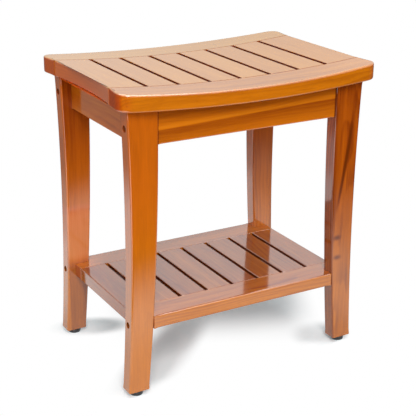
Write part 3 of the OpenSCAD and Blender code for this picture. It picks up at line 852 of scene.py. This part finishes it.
def pale_front(axes):
    """The front of the shelf's front rail is a little paler than its top."""
    return smooth_step(axes[1] * -1.0 - shelf_half_w / MM, -1.15, -0.25) * -0.10


shelf_rail("shelf_front_rail", -1, teak(
    "shelf_front_rail_teak", "X", pith=(-100.0, 60.0), figure=0.6, tone=-0.15, red=-0.9,
    marks_and_shade=pale_front))
shelf_rail("shelf_back_rail", 1, teak(
    "shelf_back_rail_teak", "X", pith=(100.0, 70.0), figure=0.6, tone=-0.07, red=-0.7))


# ----------------------------------------
# Shelf slats: eight teak boards tenoned between the shelf's rails with gaps for the
# water. The end two take the shelf's rounded ends.
shelf_slat_w = 40.3 * MM
shelf_slat_gap = 5.0 * MM
shelf_pitch = shelf_slat_w + shelf_slat_gap

for i in range(slat_count):
    name = f"shelf_slat_{i + 1}"
    left = (i - slat_count / 2) * shelf_pitch + shelf_slat_gap / 2
    right = left + shelf_slat_w
    edges = [joint_edge, slat_edge, joint_edge, slat_edge]
    if i == 0:
        left, edges[3] = -shelf_half_l, shelf_edge
    if i == slat_count - 1:
        right, edges[1] = shelf_half_l, shelf_edge
    tone = (-0.19, -0.14, -0.20, -0.15, -0.22, -0.16, -0.20, -0.19)[i]
    finish = teak(f"{name}_teak", "Y", pith=(left / MM, 60.0 - 10.0 * (i % 3)), tone=tone,
                  figure=0.4, red=-1.0, gap_shade=0.40)
    crosswise_board(name, left, right, shelf_rail_y, edges, plane(shelf_under),
                    plane(shelf_top), finish)


# ----------------------------------------
# Bolts: eight steel socket-head bolts with a dull coating. Each is sunk in the outer
# edge of a leg, where its head can be seen, and screwed into a barrel nut.
def dress(node, material):
    """A merged copy of a CAD node, with its corners kept sharp."""
    mesh = nodes[node].data.copy()
    work = bmesh.new()
    work.from_mesh(mesh)
    bmesh.ops.remove_doubles(work, verts=work.verts, dist=1e-6)
    for face in work.faces:
        face.smooth = True
    work.to_mesh(mesh)
    work.free()
    mesh.set_sharp_from_angle(angle=math.radians(31))
    piece = bpy.data.objects.new(node + "_finished", mesh)
    bpy.context.scene.collection.objects.link(piece)
    fit(piece, node, material)


def specks(finish, scale, detail=4.0):
    """Even noise, with its scale in grains to the metre."""
    point = finish.node("ShaderNodeTexCoord", output="Object")
    inputs = {"Vector": point, "Scale": scale, "Detail": detail}
    return finish.node("ShaderNodeTexNoise", inputs=inputs)


def blend(finish, share, colour, other):
    """A colour that turns into another where share goes from 0 to 1."""
    inputs = {"Factor": share, "A": (*colour, 1.0), "B": (*other, 1.0)}
    return finish.node("ShaderNodeMix", {"data_type": "RGBA"}, inputs, output="Result")


def metal(name, colour, rough, wear, metallic=1.0):
    """Turned metal: a fine uneven sheen, paler where it has rubbed. metallic is how
    much of it is bare metal and not a coating."""
    finish = Finish(name)
    cloud = specks(finish, 700.0)
    rubbed = smooth_step(cloud, 0.50, 0.72) * wear
    pale = [min(1.0, c * 1.8 + 0.04) for c in colour]
    shader = finish.node(
        "ShaderNodeBsdfPrincipled",
        inputs={"Base Color": blend(finish, rubbed, colour, pale), "Metallic": metallic,
                "Roughness": rough + (cloud - 0.5) * 0.25},
    )
    return finish.close(shader)


bolt_finish = metal("dark_coated_steel", (0.62, 0.62, 0.34), 0.42, 0.4, 0.3)
dress("apron_bolts", bolt_finish)
dress("shelf_bolts", bolt_finish)


# ----------------------------------------
# Barrel nuts: eight zinc-plated cross dowels, turned from steel and drilled across.
# They lie in the aprons and the shelf rails, where the bolts draw up to them.
zinc = metal("zinc_plate", (0.50, 0.50, 0.51), 0.38, 0.4)
dress("apron_barrel_nuts", zinc)
dress("shelf_barrel_nuts", zinc)


# ----------------------------------------
# Dowels: beech pins glued between the aprons and the legs, out of sight. They locate
# the front and back aprons, and hold the side ones.
def beech(name):
    """Bare pale wood with short flecks."""
    finish = Finish(name)
    fleck = specks(finish, 420.0)
    tint = blend(finish, fleck, (0.62, 0.44, 0.26), (0.78, 0.62, 0.42))
    shader = finish.node(
        "ShaderNodeBsdfPrincipled",
        inputs={"Base Color": tint, "Roughness": 0.6 + (fleck - 0.5) * 0.2},
    )
    return finish.close(shader)


bare_beech = beech("bare_beech")
dress("locating_dowels", bare_beech)
dress("side_apron_dowels", bare_beech)


# ----------------------------------------
# Seat screws: eight steel wood screws. They are sunk in the aprons' lower edges and
# hold the seat down.
dress("seat_screws", metal("satin_steel", (0.56, 0.56, 0.57), 0.32, 0.3))


# ----------------------------------------
# Feet: brass inserts in the ends of the legs, threaded steel stems and rubber pads
# that turn with the stems to level the bench.
pad_r = 10.0 * MM
pad_top = 6.8 * MM
sole_round = 1.6 * MM
sole_ring = 4.0 * MM
shoulder_round = 2.6 * MM
neck_edge = 0.3 * MM
clearance = 0.06 * MM
stem_r = 3.0 * MM
stem_low = 1.86 * MM
stem_high = 26.86 * MM
tip_chamfer = 0.6 * MM
collar_r = 5.5 * MM
collar_t = 1.2 * MM
collar_edge = 0.2 * MM
collar_top = stem_low + collar_t
thread_pitch = 1.0 * MM
thread_depth = 0.32 * MM
thread_start = collar_top + 3.2 * MM
thread_end = stem_high - 0.7 * MM
dress("foot_inserts", metal("turned_brass", (0.62, 0.42, 0.16), 0.30, 0.3))


def turned(name, centre, profile, around=64, groove=None):
    """A turned piece: a profile of (radius, height) swept round an upright axis and
    closed on it at both ends. groove(angle, height) is taken off the radius."""
    angle = np.linspace(0, 2 * np.pi, around, endpoint=False)
    radius, height = np.asarray(profile, float).T
    angles, heights = np.meshgrid(angle, height)
    radii = np.repeat(radius[:, None], around, axis=1)
    if groove is not None:
        radii = np.maximum(radii - groove(angles, heights), 0)
    points = np.stack([centre[0] + radii * np.cos(angles), centre[1] + radii * np.sin(angles),
                       heights], -1)
    index = np.arange(points.shape[0] * around).reshape(-1, around)
    after = np.roll(index, -1, axis=1)
    faces = np.stack([index[:-1], after[:-1], after[1:], index[1:]], -1).reshape(-1, 4)
    piece = shell(name, points.reshape(-1, 3), faces)
    piece.data.set_sharp_from_angle(angle=math.radians(40))
    return piece


def stem_profile():
    """A collar below and a plain rod above, with its tip chamfered."""
    heights = np.arange(collar_top, stem_high - tip_chamfer, thread_pitch / 8)
    rod = [(stem_r, z) for z in heights]
    return [(0, stem_low), (collar_r - collar_edge, stem_low), (collar_r, stem_low + collar_edge),
            (collar_r, collar_top - collar_edge), (collar_r - collar_edge, collar_top),
            *rod, (stem_r - tip_chamfer, stem_high), (0, stem_high)]


def thread_groove(angles, heights):
    """A single-start V thread: a triangle wave of height less turns."""
    phase = (heights / thread_pitch - angles / (2 * np.pi)) % 1
    depth = thread_depth * (1 - np.abs(2 * phase - 1))
    return np.where((heights > thread_start) & (heights < thread_end), depth, 0)


def pad_profile():
    """A flat sole, a bulged side and a rounded shoulder, open inside for the collar."""
    turn = np.radians(np.linspace(-90, 90, 9))
    low = [(pad_r - sole_round + sole_round * math.cos(a), sole_round + sole_round * math.sin(a))
           for a in turn[:5]]
    high = [(pad_r - shoulder_round + shoulder_round * math.cos(a),
             pad_top - shoulder_round + shoulder_round * math.sin(a)) for a in turn[4:]]
    neck = stem_r + clearance
    room = collar_r + clearance
    room_top = collar_top + clearance
    room_low = stem_low - clearance
    return [(0, 0), (pad_r - sole_ring, 0), *low, *high, (neck + neck_edge, pad_top),
            (neck, pad_top - neck_edge), (neck, room_top), (room, room_top),
            (room, room_low), (0, room_low)]


def rubber(name, colour):
    """Moulded rubber: matt, with a fine grain and a faint bloom."""
    finish = Finish(name)
    grain = specks(finish, 2200.0, 3.0)
    bloom = smooth_step(specks(finish, 260.0, 2.0), 0.45, 0.8)
    tint = blend(finish, bloom, colour, [c * 2.2 + 0.01 for c in colour])
    bump = finish.node(
        "ShaderNodeBump", inputs={"Strength": 0.3, "Distance": 0.08 * MM, "Height": grain}
    )
    shader = finish.node(
        "ShaderNodeBsdfPrincipled",
        inputs={"Base Color": tint, "Roughness": 0.42 + (grain - 0.5) * 0.2, "Normal": bump},
    )
    return finish.close(shader)


black_rubber = rubber("black_rubber", (0.016, 0.017, 0.019))
for side_x, across in ((-1, "left"), (1, "right")):
    for side_y, deep in ((-1, "front"), (1, "back")):
        centre = (side_x * foot_x, side_y * leg_y)
        corner = f"{deep}_{across}"
        stem = turned(f"threaded_stem_{corner}", centre, stem_profile(), 32, thread_groove)
        fit(stem, f"foot_stem_{corner}", zinc)
        pad = turned(f"rubber_pad_{corner}", centre, pad_profile())
        fit(pad, f"foot_pad_{corner}", black_rubber)


# ----------------------------------------
# The studio: a white table, which the varnish mirrors as far as its edges, under
# soft light from in front and above.
def pool(x, y, centre, reach, turn=0.0):
    """1 inside an ellipse on the floor and 0 well outside it."""
    east, north = math.cos(math.radians(turn)), math.sin(math.radians(turn))
    along = ((x - centre[0]) * east + (y - centre[1]) * north) / reach[0]
    across = ((y - centre[1]) * east - (x - centre[0]) * north) / reach[1]
    return 1.0 - smooth_step((along * along + across * across) ** 0.5, 0.55, 1.3)


def mirrored_table(x, y):
    """What the varnish mirrors of the table. It is brighter a little way out, ends in
    front at a slanting edge and is dim past about 0.9 m all round. It is dimmer too to
    the right and in a pool at the back, and a strip of it to the left is lit."""
    front = smooth_step(y + x * 0.40 + 0.489, -0.09, 0.09)
    away = (x * x + y * y) ** 0.5
    bright = 0.95 + smooth_step(away, 0.24, 0.36) * 0.45 - smooth_step(away, 0.72, 1.04) * 1.10
    table = front * bright
    table = table * (1.0 - smooth_step(x, 0.33, 0.52) * 0.6)
    table = table * (1.0 - smooth_step(x, -0.10, 0.05) * (1.0 - smooth_step(y, 0.0, 0.05)) * 0.2)
    table = table * (1.0 - pool(x, y, (-0.30, 0.70), (0.18, 0.20)) * 0.5)
    strip = smooth_step(x * -1.0, 0.38, 0.60) * (1.0 - smooth_step(x * -1.0, 0.90, 1.10))
    strip = strip * (1.0 - smooth_step(y, -0.35, -0.05)) * smooth_step(y, -1.25, -1.05) * 2.5
    return table.math("MAXIMUM", strip)


def shadow_free(x, y):
    """0 where the bench's shadow is kept and 1 where the floor is plain white. The
    shadow is kept in a patch that lies along the camera's line of sight, and in three
    pools by the feet."""
    sight_x, sight_y = 0.477, 0.879
    sight = x * sight_x + y * sight_y
    aside = x * sight_y - y * sight_x
    kept = smooth_step(sight, -0.04, 0.10) - smooth_step(sight, 0.20, 0.32)
    kept = kept * (smooth_step(aside, -0.18, -0.03) - smooth_step(aside, 0.13, 0.20))
    free = 1.0 - kept
    for centre, reach, turn in (((-0.095, -0.030), (0.18, 0.04), 41.0),
                                ((-0.150, 0.115), (0.06, 0.03), -20.0),
                                ((0.165, -0.095), (0.045, 0.045), 0.0)):
        free = free * (1.0 - pool(x, y, centre, reach, turn))
    return free


def contact_shade(x, y):
    """The darkest shade, along the left legs' feet and under the front right one."""
    left = pool(x, y, (-0.114, -0.055), (0.11, 0.024), 48.0)
    return left.math("MAXIMUM", pool(x, y, (0.166, -0.112), (0.03, 0.016)))


def studio_floor():
    """Matt white. Camera rays see white with the bench's shadow kept beneath it, and
    mirror rays see a bright table that ends in a dark room."""
    finish = Finish("studio_white")
    x, y = finish.parts(finish.node("ShaderNodeTexCoord", output="Object"), "XY")
    plain = {"Color": (1, 1, 1, 1), "Strength": 1.0}
    white = finish.node("ShaderNodeEmission", inputs=plain)
    glow = finish.node("ShaderNodeEmission", inputs={**plain, "Strength": mirrored_table(x, y)})
    matt = finish.node("ShaderNodeBsdfDiffuse", inputs={"Color": (0.86, 0.86, 0.86, 1)})
    contact = contact_shade(x, y) * 0.085
    tint = dict(enumerate(level - contact for level in (0.17, 0.235, 0.255)))
    tint = finish.node("ShaderNodeCombineXYZ", inputs=tint)
    lift = finish.node("ShaderNodeEmission", inputs={**plain, "Color": tint})
    shaded = finish.node("ShaderNodeAddShader", inputs={0: matt, 1: lift})
    free = shadow_free(x, y)
    seen = finish.node("ShaderNodeMixShader", inputs={0: free, 1: shaded, 2: white})
    camera_ray = finish.node("ShaderNodeLightPath", output="Is Camera Ray")
    mirror_ray = finish.node("ShaderNodeLightPath", output="Is Glossy Ray")
    first = finish.node("ShaderNodeMixShader", inputs={0: camera_ray, 1: matt, 2: seen})
    return finish.close(
        finish.node("ShaderNodeMixShader", inputs={0: mirror_ray, 1: first, 2: glow}))


floor_half = 12.0
square = np.array([(-1, -1, 0), (1, -1, 0), (1, 1, 0), (-1, 1, 0)])
floor_mesh = bpy.data.meshes.new("floor")
floor_mesh.from_pydata((square * floor_half).tolist(), [], [(0, 1, 2, 3)])
floor = bpy.data.objects.new("floor", floor_mesh)
bpy.context.scene.collection.objects.link(floor)
floor_mesh.materials.append(studio_floor())


def softbox(name, place, aim, width, height, power):
    """A rectangular lamp at a place, facing the point that it is aimed at."""
    lamp = bpy.data.lights.new(name, "AREA")
    lamp.shape = "RECTANGLE"
    lamp.size, lamp.size_y = width, height
    lamp.energy = power
    stand = bpy.data.objects.new(name, lamp)
    bpy.context.scene.collection.objects.link(stand)
    stand.location = place
    stand.rotation_euler = (Vector(aim) - Vector(place)).to_track_quat("-Z", "Y").to_euler()


softbox("front_softbox", (-1.0, -2.1, 1.95), (0, 0, 0.2), 1.1, 1.1, 58)
softbox("overhead_softbox", (0.1, -0.55, 2.2), (0.1, -0.4, 0.3), 1.5, 0.4, 17)


def studio_walls():
    """Dim white for the wood, plain white for the camera and, for mirror rays, a wall
    that brightens upwards below a lamp overhead to the left."""
    walls = Finish("studio_walls", "worlds")
    east, up = walls.parts(walls.node("ShaderNodeTexCoord", output="Generated"), "XZ")
    lamp = smooth_step(up, 0.64, 0.76) * (1.0 - smooth_step(east, 0.40, 0.64)) * 4.2
    mirrored = 1.0 + smooth_step(up, 0.27, 0.42) * 0.56 + lamp
    camera_ray = walls.node("ShaderNodeLightPath", output="Is Camera Ray")
    mirror_ray = walls.node("ShaderNodeLightPath", output="Is Glossy Ray")
    dim = 0.25
    strength = dim + camera_ray * (1.0 - dim) + mirror_ray * (mirrored - dim)
    light = {"Color": (1, 1, 1, 1), "Strength": strength}
    return walls.close(walls.node("ShaderNodeBackground", inputs=light))


bpy.context.scene.world = studio_walls()


# ----------------------------------------
# The camera: it looks down at the bench from in front on the left, at the angle and
# with the long lens of the photograph, whose focal length is given in its pixels.
photo_width = 416.0
focal_length = 1060.52
sensor_width = 36.0
aim = np.array([0.00309, 0.0, 0.21927])
distance = 1.65874
turn = math.radians(30.119)
drop = math.radians(20.456)
roll = math.radians(0.596)
look = np.array([math.sin(turn) * math.cos(drop), math.cos(turn) * math.cos(drop),
                 -math.sin(drop)])
level = np.array([math.cos(turn), -math.sin(turn), 0.0])
rise = np.cross(level, look)
right = math.cos(roll) * level + math.sin(roll) * rise
up = -math.sin(roll) * level + math.cos(roll) * rise
stand = aim - distance * look
lens = bpy.data.cameras.new("camera")
lens.sensor_width = sensor_width
lens.lens = sensor_width * focal_length / photo_width
camera = bpy.data.objects.new("camera", lens)
bpy.context.scene.collection.objects.link(camera)
camera.matrix_world = Matrix([(right[i], up[i], -look[i], stand[i]) for i in range(3)]
                             + [(0, 0, 0, 1)])
bpy.context.scene.camera = camera
bpy.context.scene.view_settings.view_transform = "Standard"
